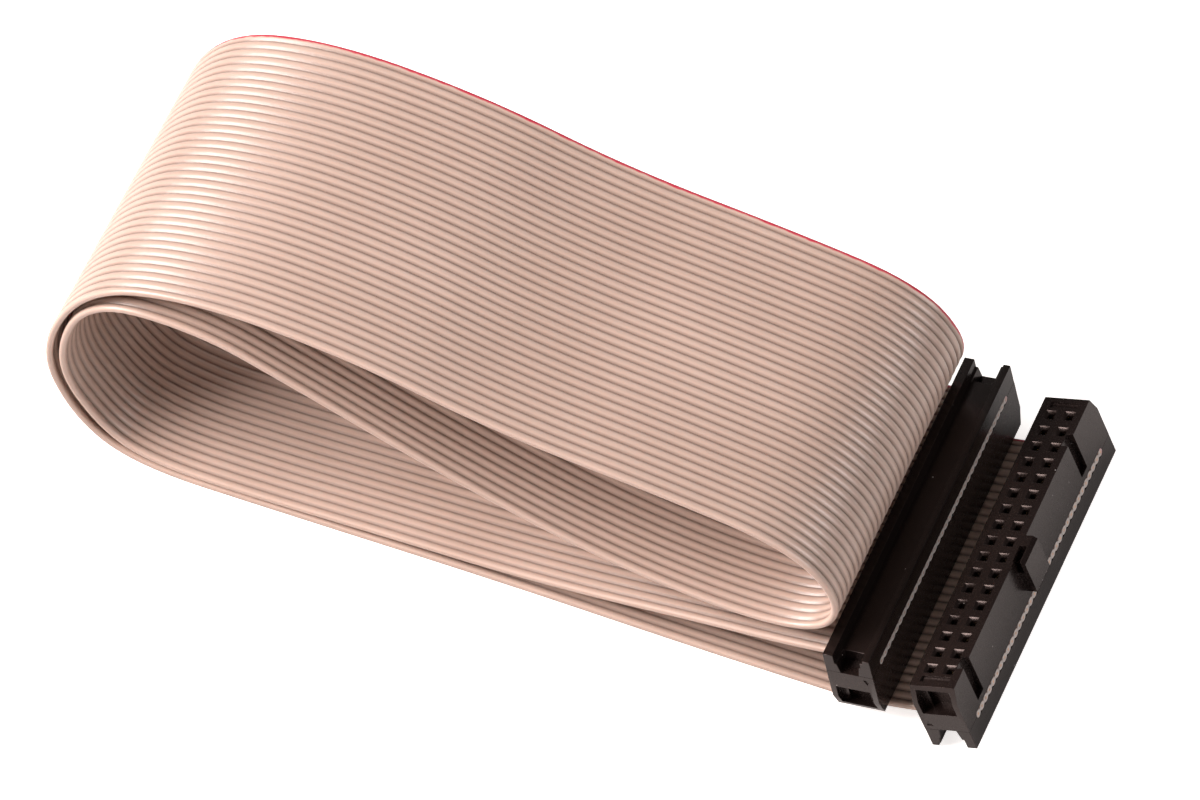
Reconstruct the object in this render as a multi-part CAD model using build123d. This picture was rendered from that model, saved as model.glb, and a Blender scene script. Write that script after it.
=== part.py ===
from build123d import *
import os
from math import radians, tan

# Flat 34-way ribbon cable, folded over itself in four layers, with an insulation-displacement
# socket clamped on each end.  Millimetres, +Z up.  The cable runs in the XZ plane and its width
# lies along Y.  The origin is the middle of the footprint on the surface that it lies on.

# ---- Flat cable -----------------------------------------------------------------------------
conductor_count = 34
conductor_pitch = 1.27
conductor_side = 0.34        # square bar with the copper area of seven strands of 0.127
cable_thickness = 0.90

# Middle of the cable's thickness as (X, Z), from the cut end in socket A to that in socket B.
route_points = [
    (47.4, 9.3), (36.6, 7.1), (25.6, 6.0), (4.3, 3.1), (-20.5, 2.3), (-34.6, 1.7),
    (-46.6, 1.9), (-53.4, 5.0), (-59.7, 15.8), (-54.9, 30.3), (-40.3, 31.2), (-27.0, 26.1),
    (-7.1, 18.0), (12.0, 11.9), (30.8, 9.6), (40.3, 11.8), (42.0, 18.5), (35.4, 25.9),
    (19.1, 28.4), (-1.9, 30.6), (-20.4, 35.6), (-40.4, 37.1), (-54.7, 32.6), (-61.4, 17.7),
    (-57.1, 6.0), (-49.2, 0.46), (-31.1, 0.5), (-1.1, 0.9), (22.9, 0.45), (35.9, 0.48),
    (48.33, 0.6), (59.79, 4.93),
]
corner_share = 0.45          # part of the shorter run that a corner's arc takes up

# ---- Sockets --------------------------------------------------------------------------------
# Each socket's own frame: origin on the cable's middle plane, x along the cable, y across it,
# z towards the mating face.
rows = conductor_count // 2
row_pitch = 2 * conductor_pitch
column_pitch = 2.54
end_margin = 3.58            # last contact row to the end face
socket_width = 6.0
body_height = 7.0
cover_height = 3.0

end_taper_depth = 0.8        # the mating end narrows towards its face
end_taper_height = 2.3

pin_hole = 0.8               # square hole for a mating pin
pin_mouth = 1.45             # the hole widens to this at the mating face
funnel_depth = 0.35          # a lead-in at about 45 degrees
pin_hole_depth = 1.1

key_width = 4.25
key_offset = -0.875          # middle of the key along y
key_root = 0.5               # the key is built this far into the body's side
notch_root = 0.2             # and its notch this far
key_depth = 1.4
key_bottom = 1.7
key_chamfer = 0.45
key_notch_width = 2.55
key_notch_height = 2.0
key_notch_wall = 0.6

side_groove_width = 1.8
side_groove_depth = 0.9
side_groove_bottom = 1.3
side_groove_rows = (1.5, 15.5)

end_slot_width = 3.8
end_slot_length = 0.9
end_slot_depth = 0.35
end_slot_wall = 0.7          # mating face left outside the slot

end_recess_width = 4.6
end_recess_top = 0.6         # below the mating face
end_recess_height = 3.6
end_recess_depth = 0.5
end_window_width = 2.8
end_window_offset = 0.1
end_window_depth = 2.0
mark_size = 0.9
mark_margin = 0.5            # the mark stands in this far from the -x side
mark_bottom = 0.6
mark_depth = 0.15

channel_width = 3.4
channel_depth = 1.4
channel_opening = 2.3        # end of the channel that has no floor
throat_width = 2.3           # width of that opening at the cable
ledge_width = 0.4
ledge_depth = 0.5

peg_width = 0.9
peg_length = 1.0
peg_height = 1.6
peg_tip = 0.2
peg_side_wall = 0.45
peg_end_wall = 0.7
peg_clearance = 0.05

# ---- Contacts -------------------------------------------------------------------------------
blade_thickness = 0.25
fork_width = 1.10
fork_tip = 1.15              # the tines reach this far into the cover
fork_point = 0.25
fork_root = 0.40             # top of the fork's slot
shoulder_bottom = 0.75
seat_height = 1.6            # the contact sits in its chamber at this height
seat_thickness = 0.3
seat_width = 1.0
spring_width = 0.8
spring_thickness = 0.16
spring_top = 5.8
spring_bow = 0.55            # the two leaves bow out to this
spring_waist = 0.49          # then come in to this
spring_grip = 0.20           # and here they grip the mating pin
spring_flare = 0.22          # above the grip they open out by this much
bow_height = 0.25            # heights of these bends, as parts of the spring's height
waist_height = 0.50
grip_height = 0.84
leaf_overlap = 0.05          # the leaves start this far inside the seat
leaf_play = 0.02             # between a leaf and the wall of its chamber
blade_clearance = 0.03
spring_clearance = 0.10


# ---- Values worked out from the sizes above --------------------------------------------------
def conductor_y(number):
    """Place of a conductor across the cable, number 0 being the marked one."""
    return (conductor_count - 1) * conductor_pitch / 2 - number * conductor_pitch


def row_y(row):
    """Place of a row of contacts across the cable."""
    return (rows - 1) * row_pitch / 2 - row * row_pitch


socket_length = (rows - 1) * row_pitch + 2 * end_margin
half_length = socket_length / 2
half_width = socket_width / 2
half_column = column_pitch / 2
face_half_length = half_length - end_taper_depth
chamber_top = body_height - pin_hole_depth
chamber_width = 2 * spring_bow + spring_thickness + 2 * leaf_play
column_sides = (1, -1)       # odd-numbered contacts are in the +x column


def block(x, y, z):
    """Box between two limits along each axis."""
    middle = Pos((x[0] + x[1]) / 2, (y[0] + y[1]) / 2, (z[0] + z[1]) / 2)
    return middle * Box(x[1] - x[0], y[1] - y[0], z[1] - z[0])


def around(centre, size):
    """Limits of a width that is centred on a place."""
    return (centre - size / 2, centre + size / 2)


# ---- Route of the cable ----------------------------------------------------------------------
def corner_radii(points):
    """Radius of the arc at each corner of the route."""
    corners = [Vector(x, 0, z) for x, z in points]
    radii = []
    for before, corner, after in zip(corners, corners[1:], corners[2:]):
        run_in = corner - before
        run_out = after - corner
        shorter = min(run_in.length, run_out.length)
        turn = run_in.get_angle(run_out)
        radii.append(corner_share * shorter / tan(radians(turn / 2)))
    return radii


radii = corner_radii(route_points)
route = FilletPolyline(*[(x, 0, z) for x, z in route_points], radius=radii)
route_start = Plane(
    origin=route @ 0,
    x_dir=(0, 1, 0),
    z_dir=Vector(route % 0),
)


# ---- Cross-section of the cable --------------------------------------------------------------
def cable_outline():
    """Closed outline across the cable: a flat band with a round edge at each end."""
    half_thickness = cable_thickness / 2
    first = conductor_y(0)
    last = conductor_y(conductor_count - 1)
    return make_face(
        [
            Line((first, half_thickness), (last, half_thickness)),
            ThreePointArc(
                (last, half_thickness), (last - half_thickness, 0), (last, -half_thickness)
            ),
            Line((last, -half_thickness), (first, -half_thickness)),
            ThreePointArc(
                (first, -half_thickness), (first + half_thickness, 0), (first, half_thickness)
            ),
        ]
    )


outline = cable_outline()


# ---- Sockets' places ---------------------------------------------------------------------------
def socket_plane(end, inner):
    """Frame of a socket whose width is clamped on an end run of the cable."""
    end = Vector(end[0], 0, end[1])
    inner = Vector(inner[0], 0, inner[1])
    outwards = (end - inner).normalized()
    return end - outwards * half_width, outwards


centre_a, outwards_a = socket_plane(route_points[0], route_points[1])
centre_b, outwards_b = socket_plane(route_points[-1], route_points[-2])
place_a = Plane(origin=centre_a, x_dir=-outwards_a, z_dir=(-outwards_a).cross(Vector(0, 1, 0)))
place_b = Plane(origin=centre_b, x_dir=outwards_b, z_dir=outwards_b.cross(Vector(0, 1, 0)))


# ---- Contacts -------------------------------------------------------------------------------
def fork_y(row, side):
    """Place across the cable of the conductor that a contact's fork straddles."""
    return row_y(row) + side * conductor_pitch / 2


def fork_shape(row, side):
    """Forked blade that pierces the insulation, with the step that leads to its spring."""
    middle = fork_y(row, side)
    half_fork = fork_width / 2
    half_slot = conductor_side / 2
    far = row_y(row) - side * seat_width / 2
    outline_points = [
        (middle + side * half_fork, seat_height),
        (middle + side * half_fork, fork_point - fork_tip),
        (middle + side * half_slot, -fork_tip),
        (middle + side * half_slot, fork_root),
        (middle - side * half_slot, fork_root),
        (middle - side * half_slot, -fork_tip),
        (middle - side * half_fork, fork_point - fork_tip),
        (middle - side * half_fork, shoulder_bottom),
        (far, shoulder_bottom),
        (far, seat_height),
    ]
    profile = make_face(Plane.YZ * Polyline(*outline_points, close=True))
    blade = extrude(profile, amount=blade_thickness / 2, both=True)
    return Pos(side * half_column, 0, 0) * blade


def spring_shape():
    """Two-leaf spring that grips a mating pin, on its seat, about the contact's own axis."""
    foot = seat_height + seat_thickness
    height = spring_top - foot
    middle_line = [
        (seat_width / 2 - spring_thickness, foot - leaf_overlap),
        (spring_bow, foot + bow_height * height),
        (spring_waist, foot + waist_height * height),
        (spring_grip, foot + grip_height * height),
        (spring_grip + spring_flare, spring_top),
    ]
    inner = [(x - spring_thickness / 2, z) for x, z in middle_line]
    outer = [(x + spring_thickness / 2, z) for x, z in reversed(middle_line)]
    leaf = extrude(
        make_face(Plane.XZ * Polyline(*inner, *outer, close=True)),
        amount=spring_width / 2,
        both=True,
    )
    seat = block(
        around(0, seat_width), around(0, spring_width), (seat_height, seat_height + seat_thickness)
    )
    return seat + leaf + mirror(leaf, about=Plane.YZ)


def contact_column(side):
    """The contacts of one column of a socket, as separate solids."""
    spring = spring_shape()
    contacts = []
    for row in range(rows):
        placed_spring = Pos(side * half_column, row_y(row), 0) * spring
        contacts.append((fork_shape(row, side) + placed_spring).solid())
    return Compound(contacts)


# ---- Socket body ------------------------------------------------------------------------------
def body_blank():
    """Moulded block whose ends taper in towards the mating face."""
    shoulder = body_height - end_taper_height
    profile = Polyline(
        (-half_length, 0),
        (half_length, 0),
        (half_length, shoulder),
        (face_half_length, body_height),
        (-face_half_length, body_height),
        (-half_length, shoulder),
        close=True,
    )
    return extrude(make_face(Plane.YZ * profile), amount=half_width, both=True)


def polarising_key():
    """Raised key on the +x side, with a notch cut down into its near part."""
    front = half_width + key_depth
    key_y = around(key_offset, key_width)
    key = block((half_width - key_root, front), key_y, (key_bottom, body_height))
    outer_edge = key.edges().filter_by(Axis.Y).sort_by(Axis.X)[-2:].sort_by(Axis.Z)[-1]
    key = chamfer(outer_edge, key_chamfer)
    notch = block(
        (half_width - notch_root, front - key_notch_wall),
        (key_y[0], key_y[0] + key_notch_width),
        (body_height - key_notch_height, body_height),
    )
    return key, notch


def contact_chamber(row, side):
    """Pin hole with its funnel, spring chamber and blade slot of one contact."""
    column = side * half_column
    here = row_y(row)
    sections = [
        Pos(column, here, body_height - funnel_depth) * Rectangle(pin_hole, pin_hole),
        Pos(column, here, body_height) * Rectangle(pin_mouth, pin_mouth),
    ]
    funnel = loft(sections)
    hole = block(
        around(column, pin_hole), around(here, pin_hole), (chamber_top, body_height - funnel_depth)
    )
    chamber = block(
        around(column, chamber_width),
        around(here, spring_width + 2 * spring_clearance),
        (seat_height, chamber_top),
    )
    fork_edge = fork_y(row, side) + side * (fork_width / 2 + blade_clearance)
    seat_edge = here - side * (seat_width / 2 + blade_clearance)
    blade_slot = block(
        around(column, blade_thickness + 2 * blade_clearance),
        (min(fork_edge, seat_edge), max(fork_edge, seat_edge)),
        (-1, seat_height),
    )
    return [funnel, hole, chamber, blade_slot]


def end_features(end):
    """Slot, recess, window and peg holes at one end of the body, end being 1 or -1."""

    def along(near, far):
        return tuple(sorted((end * near, end * far)))

    slot_outer = face_half_length - end_slot_wall
    slot = block(
        around(0, end_slot_width),
        along(slot_outer - end_slot_length, slot_outer),
        (body_height - end_slot_depth, body_height),
    )
    recess_top = body_height - end_recess_top
    recess_z = (recess_top - end_recess_height, recess_top)
    recess = block(
        around(0, end_recess_width),
        along(half_length - end_taper_depth - end_recess_depth, half_length),
        recess_z,
    )
    window = block(
        around(end_window_offset, end_window_width),
        along(half_length - end_window_depth, half_length),
        recess_z,
    )
    return [slot, recess, window]


def pin_one_mark():
    """Small triangle sunk in the near end face."""
    corner = -half_width + mark_margin
    triangle = Polyline(
        (corner, mark_bottom),
        (corner + mark_size, mark_bottom),
        (corner + mark_size / 2, mark_bottom + mark_size),
        close=True,
    )
    face = Plane.XZ.offset(half_length) * triangle
    return extrude(make_face(face), amount=mark_depth, both=True)


def pegs(clearance):
    """Pegs that hold the cover to the body, or with a clearance, the holes that take them."""
    found = []
    for end in (1, -1):
        for side in (1, -1):
            centre_x = side * (half_width - peg_side_wall - peg_width / 2)
            centre_y = end * (half_length - peg_end_wall - peg_length / 2)
            peg = block(
                around(centre_x, peg_width + 2 * clearance),
                around(centre_y, peg_length + 2 * clearance),
                (-0.2, peg_height + clearance),
            )
            found.append(peg)
    return found


def cable_slot():
    """Space that the cable takes up through a socket."""
    flat = Plane(origin=(-socket_width, 0, 0), x_dir=(0, 1, 0), z_dir=(1, 0, 0))
    return extrude(flat * outline, amount=2 * socket_width)


def socket_body():
    """Body of a socket, open on the mating face for the pins."""
    key, notch = polarising_key()
    cuts = [notch, pin_one_mark(), cable_slot()]
    cuts += pegs(peg_clearance)
    for end in (1, -1):
        cuts += end_features(end)
    for row in side_groove_rows:
        cuts.append(
            block(
                (half_width - side_groove_depth, half_width + 1),
                around(row_y(row), side_groove_width),
                (side_groove_bottom, body_height),
            )
        )
    for side in column_sides:
        for row in range(rows):
            cuts += contact_chamber(row, side)
    return (body_blank() + key).cut(*[solid for cut in cuts for solid in cut.solids()])


# ---- Socket cover -----------------------------------------------------------------------------
def cover_opening(end):
    """End of the cover's channel, where it goes through and narrows towards the cable."""
    inner = half_length - channel_opening
    length = channel_opening + 1
    middle = end * (inner + length / 2)
    sections = [
        Pos(0, middle, -cover_height) * Rectangle(channel_width, length),
        Pos(0, middle, 0) * Rectangle(throat_width, length),
    ]
    return loft(sections)


def socket_cover():
    """Cover that presses the cable onto the forks, with a channel along its back."""
    blank = block(around(0, socket_width), around(0, socket_length), (-cover_height, 0))
    channel_floor = -cover_height + channel_depth
    cuts = [
        block(around(0, channel_width), around(0, socket_length + 2), (-cover_height, channel_floor)),
        block(
            (-channel_width / 2 - ledge_width, 0),
            around(0, socket_length + 2),
            (-cover_height, -cover_height + ledge_depth),
        ),
        cover_opening(1),
        cover_opening(-1),
        cable_slot(),
    ]
    slot_depth = fork_tip + blade_clearance
    for side in column_sides:
        for row in range(rows):
            cuts.append(
                block(
                    around(side * half_column, blade_thickness + 2 * blade_clearance),
                    around(fork_y(row, side), fork_width + 2 * blade_clearance),
                    (-slot_depth, 1),
                )
            )
    cover = blank.cut(*[solid for cut in cuts for solid in cut.solids()])
    return cover + pegs(0)


# ---- Cable solids -----------------------------------------------------------------------------
def cable_insulation():
    """Insulation along the route, bored for the conductors and pierced by the forks."""
    bores = [
        Pos(conductor_y(number), 0, 0) * Rectangle(conductor_side, conductor_side)
        for number in range(conductor_count)
    ]
    section = outline - bores
    skin = sweep(route_start * section, path=route)
    cuts = []
    for place in (place_a, place_b):
        for side in column_sides:
            for row in range(rows):
                window = block(
                    around(side * half_column, blade_thickness),
                    around(fork_y(row, side), fork_width),
                    (-cable_thickness, cable_thickness),
                )
                cuts.append(place * window)
    return section.area, skin.cut(*[solid for cut in cuts for solid in cut.solids()])


def single_conductor():
    """Copper wire along the route, on the cable's middle."""
    return sweep(route_start * Rectangle(conductor_side, conductor_side), path=route)


def save(shape, node):
    """Write one sub-part."""
    export_step(shape, f"parts/{node}.step")


# ---- Build ------------------------------------------------------------------------------------
os.makedirs("parts", exist_ok=True)
print("route length", round(route.length, 1), "mm")
print("corner radii", [round(radius, 1) for radius in radii])

body = socket_body()
cover = socket_cover()
odd_contacts = contact_column(column_sides[0])
even_contacts = contact_column(column_sides[1])
for name, place in (("a", place_a), ("b", place_b)):
    save(place * body, f"socket_{name}_body")
    save(place * cover, f"socket_{name}_cover")
    save(place * odd_contacts, f"socket_{name}_contacts_odd")
    save(place * even_contacts, f"socket_{name}_contacts_even")

wire = single_conductor()
for number in range(conductor_count):
    save(Pos(0, conductor_y(number), 0) * wire, f"conductor_{number + 1:02d}")

section_area, insulation = cable_insulation()
print("insulation volume", round(insulation.volume, 1))
print("section times length", round(section_area * route.length, 1))
save(insulation, "ribbon_insulation")
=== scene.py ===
"""Looks of the folded ribbon cable: grey lobed insulation, red edge wire, two black sockets."""
import math

import bmesh
import bpy
from mathutils import Matrix, Vector


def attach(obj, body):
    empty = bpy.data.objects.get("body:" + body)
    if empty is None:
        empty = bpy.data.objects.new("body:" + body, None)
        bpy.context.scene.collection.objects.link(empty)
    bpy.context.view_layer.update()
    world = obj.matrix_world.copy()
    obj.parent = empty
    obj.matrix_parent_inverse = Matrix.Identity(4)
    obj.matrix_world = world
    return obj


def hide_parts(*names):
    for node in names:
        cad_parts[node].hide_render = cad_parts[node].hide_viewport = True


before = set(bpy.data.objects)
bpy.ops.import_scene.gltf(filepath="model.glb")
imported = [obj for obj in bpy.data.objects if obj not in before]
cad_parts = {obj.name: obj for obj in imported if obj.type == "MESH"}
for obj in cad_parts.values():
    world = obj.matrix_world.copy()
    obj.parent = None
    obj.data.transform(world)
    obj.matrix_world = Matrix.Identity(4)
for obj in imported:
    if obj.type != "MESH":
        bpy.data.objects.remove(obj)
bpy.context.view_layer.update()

# ---- Sizes of the cable, in metres ------------------------------------------------------------
WIRES = 34
PITCH = 0.00127
WIRE_RADIUS = 0.00019
LOBE_HALF = 0.00045          # half the insulation's thickness over a wire
WEB_HALF = 0.00019           # half its thickness between two wires

# Middle of the cable as (x, z), from the cut end in socket A to the cut end in socket B.
ROUTE = [
    (0.0474, 0.0093), (0.0366, 0.0071), (0.0256, 0.0060), (0.0043, 0.0031),
    (-0.0205, 0.0023), (-0.0346, 0.0017), (-0.0466, 0.0019), (-0.0534, 0.0050),
    (-0.0597, 0.0158), (-0.0549, 0.0303), (-0.0403, 0.0312), (-0.0270, 0.0261),
    (-0.0071, 0.0180), (0.0120, 0.0119), (0.0308, 0.0096), (0.0403, 0.0118),
    (0.0420, 0.0185), (0.0354, 0.0259), (0.0191, 0.0284), (-0.0019, 0.0306),
    (-0.0204, 0.0356), (-0.0404, 0.0371), (-0.0547, 0.0326), (-0.0614, 0.0177),
    (-0.0571, 0.0060), (-0.0492, 0.00046), (-0.0311, 0.0005), (-0.0011, 0.0009),
    (0.0229, 0.00045), (0.0359, 0.00048), (0.04833, 0.0006), (0.05979, 0.00493),
]
CURVE_STEPS = 9              # rings to each of the route's points
LOBE_STEPS = 5               # flats round one side of a lobe
EDGE_STEPS = 6               # flats round the cable's round edge
BORE_STEPS = 10
BORE_DEPTH = 0.0015
CUT_FADE = 0.0002            # the shears leave a dull grey face at the cut ends
CABLE_SMOOTH_ANGLE = math.radians(40)

# ---- Mouldings ---------------------------------------------------------------------------------
MOULD_EDGE = 0.00007         # rounding that a mould leaves on its edges
MOULD_EDGE_STEPS = 2
MOULD_EDGE_ANGLE = math.radians(40)
WELD_DISTANCE = 0.000004
FLAT_ANGLE = math.radians(1)
MOULD_SMOOTH_ANGLE = math.radians(50)
FULL_WEIGHT = 100

# ---- Colours -----------------------------------------------------------------------------------
VINYL_DARK = (0.485, 0.353, 0.295, 1)
VINYL_LIGHT = (0.555, 0.412, 0.350, 1)
VINYL_STREAK = (0.385, 0.285, 0.235, 1)
# painted shade: dark brown laid into the grooves between lobes, where shade falls
GROOVE_PAINTED_SHADE = (0.12, 0.070, 0.054, 1)
STRIPE_RED = (0.50, 0.022, 0.055, 1)
CUT_GREY = (0.44, 0.405, 0.39, 1)
BODY_BLACK = (0.0060, 0.0038, 0.0034, 1)
COVER_BLACK = (0.0045, 0.0030, 0.0027, 1)
BLACK_SHEEN = (1.0, 0.80, 0.76, 1)
DUST_PALE = (0.5, 0.47, 0.45, 1)
COPPER = (0.70, 0.45, 0.32, 1)
PLATED_SPRING = (0.80, 0.68, 0.46, 1)
SHEET_PALE = (0.86, 0.85, 0.84, 1)
SHEET_GLOW = (1.0, 0.965, 0.945, 1)
ROOM_PALE = (0.95, 0.93, 0.92, 1)

# ---- Camera and floor --------------------------------------------------------------------------
AIM = Vector((-0.00075, 0.00915, 0.0))
CAMERA_AZIMUTH = math.radians(21.92)
CAMERA_ELEVATION = math.radians(52.76)
CAMERA_DISTANCE = 1.2534
CAMERA_LENS = 308.0
CAMERA_SENSOR = 36.0
CAMERA_CLIP = (0.05, 10.0)
FLOOR_HALF = 1.5
FLOOR_GLOW = 0.75

# ---- Lights: name, place, size, power and colour -------------------------------------------------
LIGHTS = [
    ("right_box", (0.72, -0.05, 0.56), (0.5, 0.4), 3.8, (1.0, 0.98, 0.98)),
    ("left_box", (-0.75, -0.35, 0.64), (0.6, 0.5), 22.5, (1.0, 0.92, 0.885)),
    ("front_box", (0.05, -0.95, 0.42), (0.5, 0.3), 2.0, (1.0, 0.90, 0.86)),
    ("far_box", (-0.15, 0.85, 0.55), (0.9, 0.25), 1.4, (1.0, 0.95, 0.92)),
]
LIGHT_AIM = Vector((0, 0, 0.015))
ROOM_LIGHT = 0.05


# ---- Shader helpers ------------------------------------------------------------------------------
def new_material(name):
    """A material with a Principled BSDF, its node tree and that shader."""
    material = bpy.data.materials.new(name)
    material.use_nodes = True
    tree = material.node_tree
    return material, tree, tree.nodes["Principled BSDF"]


def place_group(tree, group, **values):
    """A group's node in a tree, with its inputs set by name."""
    node = tree.nodes.new("ShaderNodeGroup")
    node.node_tree = group
    for name, value in values.items():
        node.inputs[name.replace("_", " ")].default_value = value
    return node


def new_group(name, inputs, outputs):
    """A shader node group with float or colour sockets."""
    group = bpy.data.node_groups.new(name, "ShaderNodeTree")
    for label, kind, value in inputs:
        socket = group.interface.new_socket(label, in_out="INPUT", socket_type=kind)
        if value is not None:
            socket.default_value = value
    for label, kind in outputs:
        group.interface.new_socket(label, in_out="OUTPUT", socket_type=kind)
    start = group.nodes.new("NodeGroupInput")
    end = group.nodes.new("NodeGroupOutput")
    return group, start, end


def noise(tree, vector, scale, detail=2.0, roughness=0.5):
    """A noise texture read at a vector socket."""
    node = tree.nodes.new("ShaderNodeTexNoise")
    node.inputs["Scale"].default_value = scale
    node.inputs["Detail"].default_value = detail
    node.inputs["Roughness"].default_value = roughness
    tree.links.new(vector, node.inputs["Vector"])
    return node


def ramp(tree, factor, low, high):
    """A value that goes from 0 to 1 between two values of a factor."""
    node = tree.nodes.new("ShaderNodeMapRange")
    node.inputs["From Min"].default_value = low
    node.inputs["From Max"].default_value = high
    tree.links.new(factor, node.inputs["Value"])
    return node.outputs["Result"]


def mix_colour(tree, factor, first, second):
    """A mix of two colours, each a socket or a plain colour."""
    node = tree.nodes.new("ShaderNodeMix")
    node.data_type = "RGBA"
    colour_sockets = [s for s in node.inputs if s.type == "RGBA"]
    for socket, value in zip(colour_sockets, (first, second)):
        if isinstance(value, bpy.types.NodeSocket):
            tree.links.new(value, socket)
        else:
            socket.default_value = value
    factor_socket = node.inputs["Factor"]
    if isinstance(factor, bpy.types.NodeSocket):
        tree.links.new(factor, factor_socket)
    else:
        factor_socket.default_value = factor
    return next(s for s in node.outputs if s.type == "RGBA")


def math_node(tree, operation, first, second):
    """A math node on two sockets or numbers."""
    node = tree.nodes.new("ShaderNodeMath")
    node.operation = operation
    for socket, value in zip(node.inputs, (first, second)):
        if isinstance(value, bpy.types.NodeSocket):
            tree.links.new(value, socket)
        else:
            socket.default_value = value
    return node.outputs["Value"]


def bump(tree, height, distance):
    """A bump node on a height socket."""
    node = tree.nodes.new("ShaderNodeBump")
    node.inputs["Distance"].default_value = distance
    tree.links.new(height, node.inputs["Height"])
    return node.outputs["Normal"]


def vary_roughness(tree, shader, factor, low, high):
    """Roughness that goes between two values with a factor."""
    node = tree.nodes.new("ShaderNodeMapRange")
    node.inputs["To Min"].default_value = low
    node.inputs["To Max"].default_value = high
    tree.links.new(factor, node.inputs["Value"])
    tree.links.new(node.outputs["Result"], shader.inputs["Roughness"])


def object_coordinates(tree):
    """Object coordinates, in metres."""
    return tree.nodes.new("ShaderNodeTexCoord").outputs["Object"]


# ---- Shared effects ------------------------------------------------------------------------------
def make_dust_group():
    """Sparse pale specks, as a mask."""
    group, start, end = new_group(
        "dust_specks",
        [("Scale", "NodeSocketFloat", 900.0), ("Amount", "NodeSocketFloat", 0.05)],
        [("Mask", "NodeSocketFloat")],
    )
    where = object_coordinates(group)
    cells = group.nodes.new("ShaderNodeTexVoronoi")
    cells.inputs["Randomness"].default_value = 1.0
    group.links.new(where, cells.inputs["Vector"])
    group.links.new(start.outputs["Scale"], cells.inputs["Scale"])
    near = ramp(group, cells.outputs["Distance"], 0.16, 0.08)
    pick = group.nodes.new("ShaderNodeSeparateColor")
    group.links.new(cells.outputs["Color"], pick.inputs["Color"])
    chosen = math_node(group, "LESS_THAN", pick.outputs["Red"], start.outputs["Amount"])
    group.links.new(math_node(group, "MULTIPLY", near, chosen), end.inputs["Mask"])
    return group


def make_mottle_group():
    """Slow and fine variation of a moulded or drawn surface."""
    group, start, end = new_group(
        "surface_mottle",
        [("Coarse Scale", "NodeSocketFloat", 60.0), ("Fine Scale", "NodeSocketFloat", 1500.0)],
        [("Coarse", "NodeSocketFloat"), ("Fine", "NodeSocketFloat")],
    )
    where = object_coordinates(group)
    coarse = noise(group, where, 60.0, 3.0)
    fine = noise(group, where, 1500.0, 4.0, 0.6)
    group.links.new(start.outputs["Coarse Scale"], coarse.inputs["Scale"])
    group.links.new(start.outputs["Fine Scale"], fine.inputs["Scale"])
    group.links.new(coarse.outputs["Fac"], end.inputs["Coarse"])
    group.links.new(fine.outputs["Fac"], end.inputs["Fine"])
    return group


dust_group = make_dust_group()
mottle_group = make_mottle_group()


# ---- Materials -----------------------------------------------------------------------------------
def insulation_material():
    """Warm grey vinyl with the first lobe printed red and painted shade in the grooves between
    lobes.
    """
    material, tree, shader = new_material("grey_vinyl")
    mottle = place_group(tree, mottle_group, Coarse_Scale=45.0, Fine_Scale=2400.0)
    uv = tree.nodes.new("ShaderNodeUVMap")
    uv.uv_map = "cable"
    parts = tree.nodes.new("ShaderNodeSeparateXYZ")
    tree.links.new(uv.outputs["UV"], parts.inputs["Vector"])
    tone = ramp(tree, mottle.outputs["Coarse"], 0.3, 0.7)
    grey = mix_colour(tree, tone, VINYL_DARK, VINYL_LIGHT)
    stretch = tree.nodes.new("ShaderNodeMapping")
    stretch.inputs["Scale"].default_value = (1.0, 0.02, 1.0)
    tree.links.new(uv.outputs["UV"], stretch.inputs["Vector"])
    streaks = noise(tree, stretch.outputs["Vector"], 3.0, 2.0)
    streak_tone = ramp(tree, streaks.outputs["Fac"], 0.35, 0.65)
    streak_amount = math_node(tree, "MULTIPLY", streak_tone, 0.25)
    grey = mix_colour(tree, streak_amount, grey, VINYL_STREAK)
    # Painted shade: the colour darkens towards each groove between two lobes, away from the crest
    in_lobe = math_node(tree, "FRACT", parts.outputs["X"], 0.0)
    from_crest = math_node(tree, "ABSOLUTE", math_node(tree, "SUBTRACT", in_lobe, 0.5), 0.0)
    groove_shade_amount = math_node(tree, "MULTIPLY", ramp(tree, from_crest, 0.22, 0.48), 0.68)
    grey = mix_colour(tree, groove_shade_amount, grey, GROOVE_PAINTED_SHADE)
    print_edge = noise(tree, object_coordinates(tree), 700.0, 2.0)
    edge_shift = math_node(tree, "MULTIPLY", print_edge.outputs["Fac"], 0.25)
    across = math_node(tree, "ADD", parts.outputs["X"], edge_shift)
    red_mask = ramp(tree, across, 0.78, 0.64)
    colour = mix_colour(tree, red_mask, grey, STRIPE_RED)
    cut_face = ramp(tree, parts.outputs["Y"], CUT_FADE, 0.0)
    cut_amount = math_node(tree, "MULTIPLY", cut_face, 0.7)
    colour = mix_colour(tree, cut_amount, colour, CUT_GREY)
    tree.links.new(colour, shader.inputs["Base Color"])
    vary_roughness(tree, shader, mottle.outputs["Fine"], 0.27, 0.37)
    shader.inputs["IOR"].default_value = 1.52
    shader.inputs["Subsurface Weight"].default_value = 0.12
    shader.inputs["Subsurface Radius"].default_value = (0.0012, 0.0007, 0.0005)
    shader.inputs["Subsurface Scale"].default_value = 1.0
    tree.links.new(bump(tree, mottle.outputs["Fine"], 0.000012), shader.inputs["Normal"])
    return material


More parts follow.
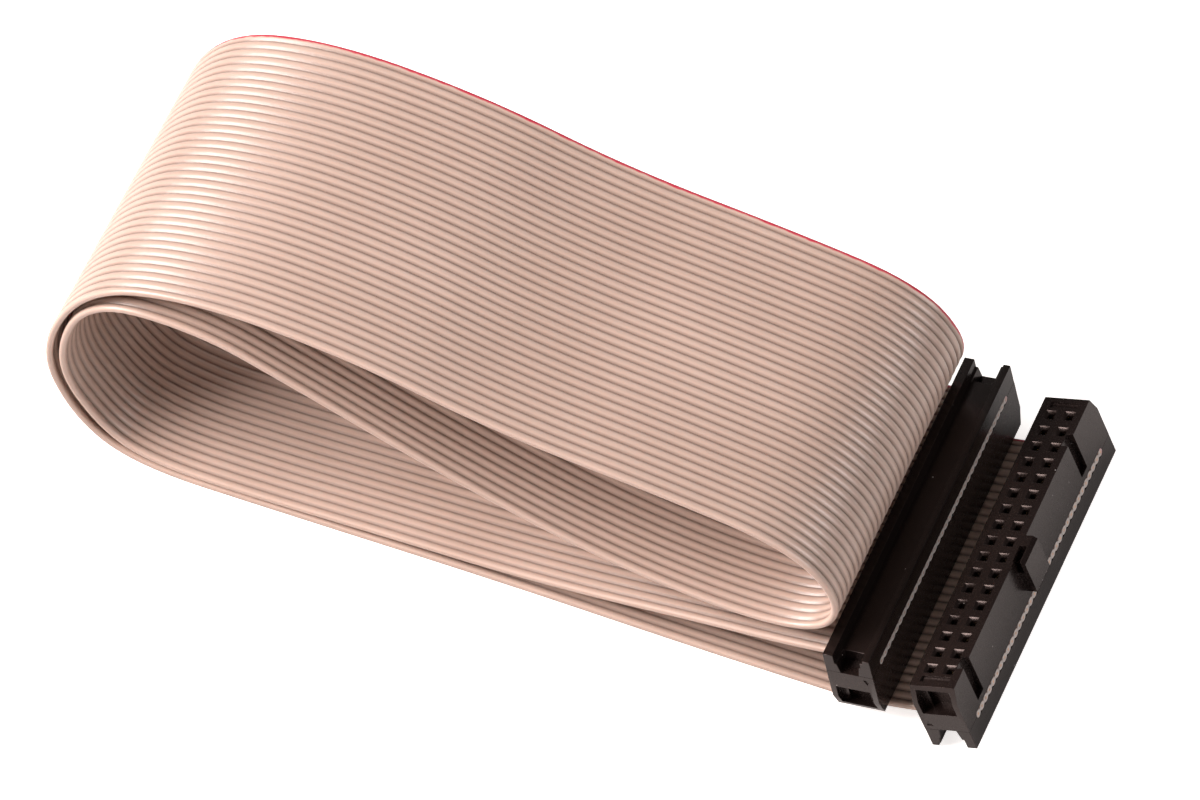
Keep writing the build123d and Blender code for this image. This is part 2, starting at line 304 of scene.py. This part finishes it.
def moulded_material(name, colour, roughness):
    """Satin black moulded plastic with dust and slight mottling."""
    material, tree, shader = new_material(name)
    mottle = place_group(tree, mottle_group, Coarse_Scale=120.0, Fine_Scale=3500.0)
    dust = place_group(tree, dust_group, Scale=1400.0, Amount=0.035)
    tone = ramp(tree, mottle.outputs["Coarse"], 0.3, 0.7)
    lighter = tuple(1.5 * c for c in colour[:3]) + (1,)
    base = mix_colour(tree, tone, colour, lighter)
    dust_amount = math_node(tree, "MULTIPLY", dust.outputs["Mask"], 0.5)
    dusty = mix_colour(tree, dust_amount, base, DUST_PALE)
    tree.links.new(dusty, shader.inputs["Base Color"])
    vary_roughness(tree, shader, mottle.outputs["Fine"], roughness, roughness + 0.12)
    shader.inputs["IOR"].default_value = 1.42
    shader.inputs["Specular Tint"].default_value = BLACK_SHEEN
    tree.links.new(bump(tree, mottle.outputs["Fine"], 0.00001), shader.inputs["Normal"])
    return material


def metal_material(name, colour, roughness):
    """Drawn or stamped metal with slight tarnish."""
    material, tree, shader = new_material(name)
    mottle = place_group(tree, mottle_group, Coarse_Scale=300.0, Fine_Scale=4000.0)
    tone = ramp(tree, mottle.outputs["Coarse"], 0.35, 0.65)
    darker = tuple(0.75 * c for c in colour[:3]) + (1,)
    tree.links.new(mix_colour(tree, tone, darker, colour), shader.inputs["Base Color"])
    shader.inputs["Metallic"].default_value = 1.0
    vary_roughness(tree, shader, mottle.outputs["Fine"], roughness, roughness + 0.2)
    return material


def floor_material():
    """Plain pale sheet, with a glow that only the camera sees."""
    material, tree, shader = new_material("pale_sheet")
    rays = tree.nodes.new("ShaderNodeLightPath")
    glow = math_node(tree, "MULTIPLY", rays.outputs["Is Camera Ray"], FLOOR_GLOW)
    tree.links.new(glow, shader.inputs["Emission Strength"])
    shader.inputs["Base Color"].default_value = SHEET_PALE
    shader.inputs["Emission Color"].default_value = SHEET_GLOW
    shader.inputs["Roughness"].default_value = 0.6
    shader.inputs["Specular IOR Level"].default_value = 0.2
    return material


vinyl = insulation_material()
black_body = moulded_material("black_body_plastic", BODY_BLACK, 0.20)
black_cover = moulded_material("black_cover_plastic", COVER_BLACK, 0.18)
copper = metal_material("drawn_copper", COPPER, 0.34)
spring_metal = metal_material("plated_spring_metal", PLATED_SPRING, 0.28)


# ---- Cable ---------------------------------------------------------------------------------------
def route_curve(name, across):
    """The route's spline at one place across the cable, with no thickness yet."""
    curve = bpy.data.curves.new(name, "CURVE")
    curve.dimensions = "3D"
    curve.resolution_u = CURVE_STEPS
    spline = curve.splines.new("NURBS")
    spline.points.add(len(ROUTE) - 1)
    for point, (x, z) in zip(spline.points, ROUTE):
        point.co = (x, across, z, 1.0)
    spline.order_u = 3
    spline.use_endpoint_u = True
    spline.resolution_u = CURVE_STEPS
    return curve


def route_line():
    """Points along the route's spline."""
    holder = bpy.data.objects.new("route_line", route_curve("route_line", 0.0))
    mesh = bpy.data.meshes.new_from_object(holder)
    line = [v.co.copy() for v in mesh.vertices]
    bpy.data.meshes.remove(mesh)
    bpy.data.curves.remove(holder.data)
    return line


def wire_place(number):
    """Place of a wire across the cable; the first is the red one."""
    return (WIRES - 1) * PITCH / 2 - number * PITCH


def cable_outline():
    """Outline across the cable as (across, height, lobes from the red edge)."""
    rise = LOBE_HALF - WEB_HALF
    radius = ((PITCH / 2) ** 2 + rise**2) / (2 * rise)
    drop = radius - LOBE_HALF
    top = []
    for number in range(WIRES):
        first = LOBE_STEPS // 2 + 1 if number == 0 else 0
        last = LOBE_STEPS // 2 if number == WIRES - 1 else LOBE_STEPS - 1
        middle = wire_place(number)
        if number == 0:
            top.append((middle, LOBE_HALF))
        for step in range(first, last + 1):
            away = PITCH / 2 - PITCH * step / LOBE_STEPS
            top.append((middle + away, math.sqrt(radius**2 - away**2) - drop))
        if number == WIRES - 1:
            top.append((middle, LOBE_HALF))
    far_edge = []
    near_edge = []
    for step in range(1, EDGE_STEPS):
        angle = math.pi * step / EDGE_STEPS
        out = LOBE_HALF * math.sin(angle)
        up = LOBE_HALF * math.cos(angle)
        far_edge.append((wire_place(WIRES - 1) - out, up))
        near_edge.append((wire_place(0) + out, -up))
    bottom = [(across, -height) for across, height in reversed(top)]
    return top + far_edge + bottom + near_edge


def ring_frames(line):
    """Place and thickness direction at each point of the line."""
    frames = []
    for index, place in enumerate(line):
        before = line[max(index - 1, 0)]
        after = line[min(index + 1, len(line) - 1)]
        along = (after - before).normalized()
        frames.append((place, Vector((-along.z, 0.0, along.x))))
    return frames


def cable_mesh(line):
    """Lobed insulation along the line, with a short bore round each wire at both cut ends."""
    outline = cable_outline()
    frames = ring_frames(line)
    shape = bmesh.new()
    uv_layer = shape.loops.layers.uv.new("cable")
    rings = []
    travelled = [0.0]
    for before, after in zip(line, line[1:]):
        travelled.append(travelled[-1] + (after - before).length)
    for place, up in frames:
        ring = [
            shape.verts.new(place + up * height + Vector((0, across, 0)))
            for across, height in outline
        ]
        rings.append(ring)
    count = len(outline)
    lobes = [(wire_place(0) - across) / PITCH + 0.5 for across, _ in outline]
    for r in range(len(rings) - 1):
        for k in range(count):
            j = (k + 1) % count
            face = shape.faces.new((rings[r][k], rings[r + 1][k], rings[r + 1][j], rings[r][j]))
            values = (
                (lobes[k], travelled[r]),
                (lobes[k], travelled[r + 1]),
                (lobes[j], travelled[r + 1]),
                (lobes[j], travelled[r]),
            )
            for loop, value in zip(face.loops, values):
                loop[uv_layer].uv = value
    for ring, (place, up), inwards in (
        (rings[0], frames[0], line[1] - line[0]),
        (rings[-1], frames[-1], line[-2] - line[-1]),
    ):
        close_end(shape, uv_layer, ring, place, up, inwards.normalized() * BORE_DEPTH)
    bmesh.ops.recalc_face_normals(shape, faces=shape.faces)
    mesh = bpy.data.meshes.new("ribbon_insulation_vinyl")
    shape.to_mesh(mesh)
    shape.free()
    return mesh


def close_end(shape, uv_layer, ring, place, up, inwards):
    """Flat cut face with a blind bore for each wire."""
    count = len(ring)
    edges = [shape.edges.get((ring[k], ring[(k + 1) % count])) for k in range(count)]
    floors = []
    for number in range(WIRES):
        middle = place + Vector((0, wire_place(number), 0))
        mouth = []
        floor = []
        for step in range(BORE_STEPS):
            angle = 2 * math.pi * step / BORE_STEPS
            offset = Vector((0, math.cos(angle), 0)) + up * math.sin(angle)
            offset *= WIRE_RADIUS
            mouth.append(shape.verts.new(middle + offset))
            floor.append(shape.verts.new(middle + offset + inwards))
        for step in range(BORE_STEPS):
            follow = (step + 1) % BORE_STEPS
            edges.append(shape.edges.new((mouth[step], mouth[follow])))
            wall = (mouth[step], mouth[follow], floor[follow], floor[step])
            floors.append(shape.faces.new(wall))
        floors.append(shape.faces.new(floor))
    filled = bmesh.ops.triangle_fill(shape, use_beauty=True, edges=edges)
    faces = [item for item in filled["geom"] if isinstance(item, bmesh.types.BMFace)]
    for face in faces + floors:
        for loop in face.loops:
            lobe = (wire_place(0) - loop.vert.co.y) / PITCH + 0.5
            loop[uv_layer].uv = (lobe, 0.0)


def make_cable():
    """Insulation over the whole route."""
    mesh = cable_mesh(route_line())
    cable = bpy.data.objects.new("ribbon_insulation_vinyl", mesh)
    bpy.context.collection.objects.link(cable)
    mesh.materials.append(vinyl)
    mesh.polygons.foreach_set("use_smooth", [True] * len(mesh.polygons))
    bpy.ops.object.select_all(action="DESELECT")
    cable.select_set(True)
    bpy.context.view_layer.objects.active = cable
    bpy.ops.object.shade_smooth_by_angle(angle=CABLE_SMOOTH_ANGLE)
    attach(cable, "root")
    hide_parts("ribbon_insulation")


def make_wire(number):
    """One copper wire along the route."""
    name = f"copper_wire_{number + 1:02d}"
    curve = route_curve(name, wire_place(number))
    curve.bevel_depth = WIRE_RADIUS
    curve.bevel_resolution = 1
    curve.use_fill_caps = True
    wire = bpy.data.objects.new(name, curve)
    bpy.context.collection.objects.link(wire)
    curve.materials.append(copper)
    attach(wire, "root")
    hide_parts(f"conductor_{number + 1:02d}")


# ---- Sockets -------------------------------------------------------------------------------------
def rounded_copy(node, name, material):
    """Copy of a moulded CAD node with its sharp edges rounded as a mould leaves them."""
    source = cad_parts[node]
    mesh = source.data.copy()
    piece = bpy.data.objects.new(name, mesh)
    bpy.context.collection.objects.link(piece)
    bpy.ops.object.select_all(action="DESELECT")
    piece.select_set(True)
    bpy.context.view_layer.objects.active = piece
    shape = bmesh.new()
    shape.from_mesh(mesh)
    bmesh.ops.remove_doubles(shape, verts=shape.verts, dist=WELD_DISTANCE)
    bmesh.ops.dissolve_limit(
        shape, angle_limit=FLAT_ANGLE, verts=shape.verts, edges=shape.edges
    )
    shape.to_mesh(mesh)
    shape.free()
    soften = piece.modifiers.new("soften", "BEVEL")
    soften.width = MOULD_EDGE
    soften.segments = MOULD_EDGE_STEPS
    soften.limit_method = "ANGLE"
    soften.angle_limit = MOULD_EDGE_ANGLE
    soften.use_clamp_overlap = True
    bpy.ops.object.modifier_apply(modifier=soften.name)
    mesh = piece.data
    mesh.materials.clear()
    mesh.materials.append(material)
    for polygon in mesh.polygons:
        polygon.material_index = 0
    bpy.ops.object.shade_smooth_by_angle(angle=MOULD_SMOOTH_ANGLE)
    flatten = piece.modifiers.new("flatten", "WEIGHTED_NORMAL")
    flatten.keep_sharp = True
    flatten.weight = FULL_WEIGHT
    bpy.ops.object.modifier_apply(modifier=flatten.name)
    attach(piece, "root")
    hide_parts(node)


def finish_sockets():
    """Rounded plastic mouldings, and metal on the contacts."""
    for letter in ("a", "b"):
        for part, material, slot in (
            ("body", black_body, "socket_plastic"),
            ("cover", black_cover, "cover_plastic"),
        ):
            node = f"socket_{letter}_{part}"
            rounded_copy(node, f"{node}_moulding", material)
        for column in ("odd", "even"):
            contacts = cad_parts[f"socket_{letter}_contacts_{column}"]
            for material_slot in contacts.material_slots:
                material_slot.material = spring_metal


# ---- Stage ---------------------------------------------------------------------------------------
def make_floor():
    """Pale floor under the cable."""
    bpy.ops.object.select_all(action="DESELECT")
    bpy.ops.mesh.primitive_plane_add(size=2 * FLOOR_HALF, location=(0, 0, 0))
    floor = bpy.context.object
    floor.name = "floor"
    floor.data.materials.append(floor_material())


def make_camera():
    """Camera at the viewing angle, well back with a long lens."""
    right = Vector((math.cos(CAMERA_AZIMUTH), math.sin(CAMERA_AZIMUTH), 0))
    level = math.cos(CAMERA_ELEVATION)
    back = Vector((
        level * math.sin(CAMERA_AZIMUTH),
        -level * math.cos(CAMERA_AZIMUTH),
        math.sin(CAMERA_ELEVATION),
    ))
    up = back.cross(right)
    turn = Matrix((right, up, back)).transposed().to_4x4()
    data = bpy.data.cameras.new("camera")
    data.sensor_width = CAMERA_SENSOR
    data.lens = CAMERA_LENS
    data.clip_start, data.clip_end = CAMERA_CLIP
    camera = bpy.data.objects.new("camera", data)
    camera.matrix_world = Matrix.Translation(AIM + back * CAMERA_DISTANCE) @ turn
    bpy.context.collection.objects.link(camera)
    bpy.context.scene.camera = camera


def area_light(name, place, size, power, colour):
    """Soft rectangular light aimed at the cable."""
    data = bpy.data.lights.new(name, "AREA")
    data.shape = "RECTANGLE"
    data.size = size[0]
    data.size_y = size[1]
    data.energy = power
    data.color = colour
    light = bpy.data.objects.new(name, data)
    light.location = place
    aim = LIGHT_AIM - Vector(place)
    light.rotation_euler = aim.to_track_quat("-Z", "Y").to_euler()
    bpy.context.collection.objects.link(light)


def make_lights():
    """Soft studio light: a strong warm box on the left, three weak ones, and a pale room."""
    for name, place, size, power, colour in LIGHTS:
        area_light(name, place, size, power, colour)
    world = bpy.data.worlds.new("studio")
    world.use_nodes = True
    background = world.node_tree.nodes["Background"]
    background.inputs["Color"].default_value = ROOM_PALE
    background.inputs["Strength"].default_value = ROOM_LIGHT
    bpy.context.scene.world = world
    bpy.context.scene.view_settings.view_transform = "Standard"


make_camera()
make_cable()
for wire_number in range(WIRES):
    make_wire(wire_number)
finish_sockets()
make_floor()
make_lights()
